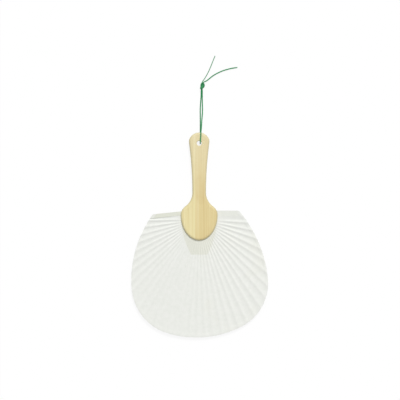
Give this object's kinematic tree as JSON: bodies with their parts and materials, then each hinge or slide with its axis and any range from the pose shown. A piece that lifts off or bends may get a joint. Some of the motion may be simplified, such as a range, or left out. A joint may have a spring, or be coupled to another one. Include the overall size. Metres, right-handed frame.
{
  "type": "uchiwa hand fan",
  "caption": "Rigid uchiwa hand fan: ribbed paper leaf with a rounded rim and straight top edges, two-part bamboo handle, and a knotted cord loop through a hole in the grip.",
  "frame": {"origin": "on the back face of the handle's back half, at the point where the lines of the ribs meet", "axes": "+X to the right as seen from the front, +Y towards the handle's end, +Z out of the front face; the fan lies on its back"},
  "size_m": [0.2189, 0.4518, 0.0104],
  "materials": {
    "bamboo": "smooth, oiled laminated bamboo",
    "rib_bamboo": "split, unfinished bamboo",
    "paper": "matt white paper",
    "edge_paper": "matt white paper strip",
    "cord": "thin twisted green cord"
  },
  "bodies": {
    "fan": {"handle_front": "bamboo", "handle_back": "bamboo", "leaf_front_paper": "paper", "leaf_back_paper": "paper", "rim_binding": "edge_paper", "end_slat_right": "rib_bamboo", "end_slat_left": "rib_bamboo", "rib_01": "rib_bamboo", "rib_02": "rib_bamboo", "rib_03": "rib_bamboo", "rib_04": "rib_bamboo", "rib_05": "rib_bamboo", "rib_06": "rib_bamboo", "rib_07": "rib_bamboo", "rib_08": "rib_bamboo", "rib_09": "rib_bamboo", "rib_10": "rib_bamboo", "rib_11": "rib_bamboo", "rib_12": "rib_bamboo", "rib_13": "rib_bamboo", "rib_14": "rib_bamboo", "rib_15": "rib_bamboo", "rib_16": "rib_bamboo", "rib_17": "rib_bamboo", "rib_18": "rib_bamboo", "rib_19": "rib_bamboo", "rib_20": "rib_bamboo", "rib_21": "rib_bamboo", "rib_22": "rib_bamboo", "rib_23": "rib_bamboo", "rib_24": "rib_bamboo", "rib_25": "rib_bamboo", "rib_26": "rib_bamboo", "rib_27": "rib_bamboo", "rib_28": "rib_bamboo", "rib_29": "rib_bamboo", "rib_30": "rib_bamboo", "rib_31": "rib_bamboo", "rib_32": "rib_bamboo", "rib_33": "rib_bamboo", "rib_34": "rib_bamboo", "rib_35": "rib_bamboo"},
    "cord_loop": {"cord_front_strand": "cord", "cord_back_strand": "cord", "cord_knot": "cord", "cord_long_tail": "cord", "cord_short_tail": "cord"}
  },
  "joints": [
    {"name": "loop_swing", "type": "hinge", "parent": "fan", "child": "cord_loop", "pos_m": [0, 0.122, 0.0052], "axis": [0, 0, 1], "range_deg": [-90, 90]}
  ]
}
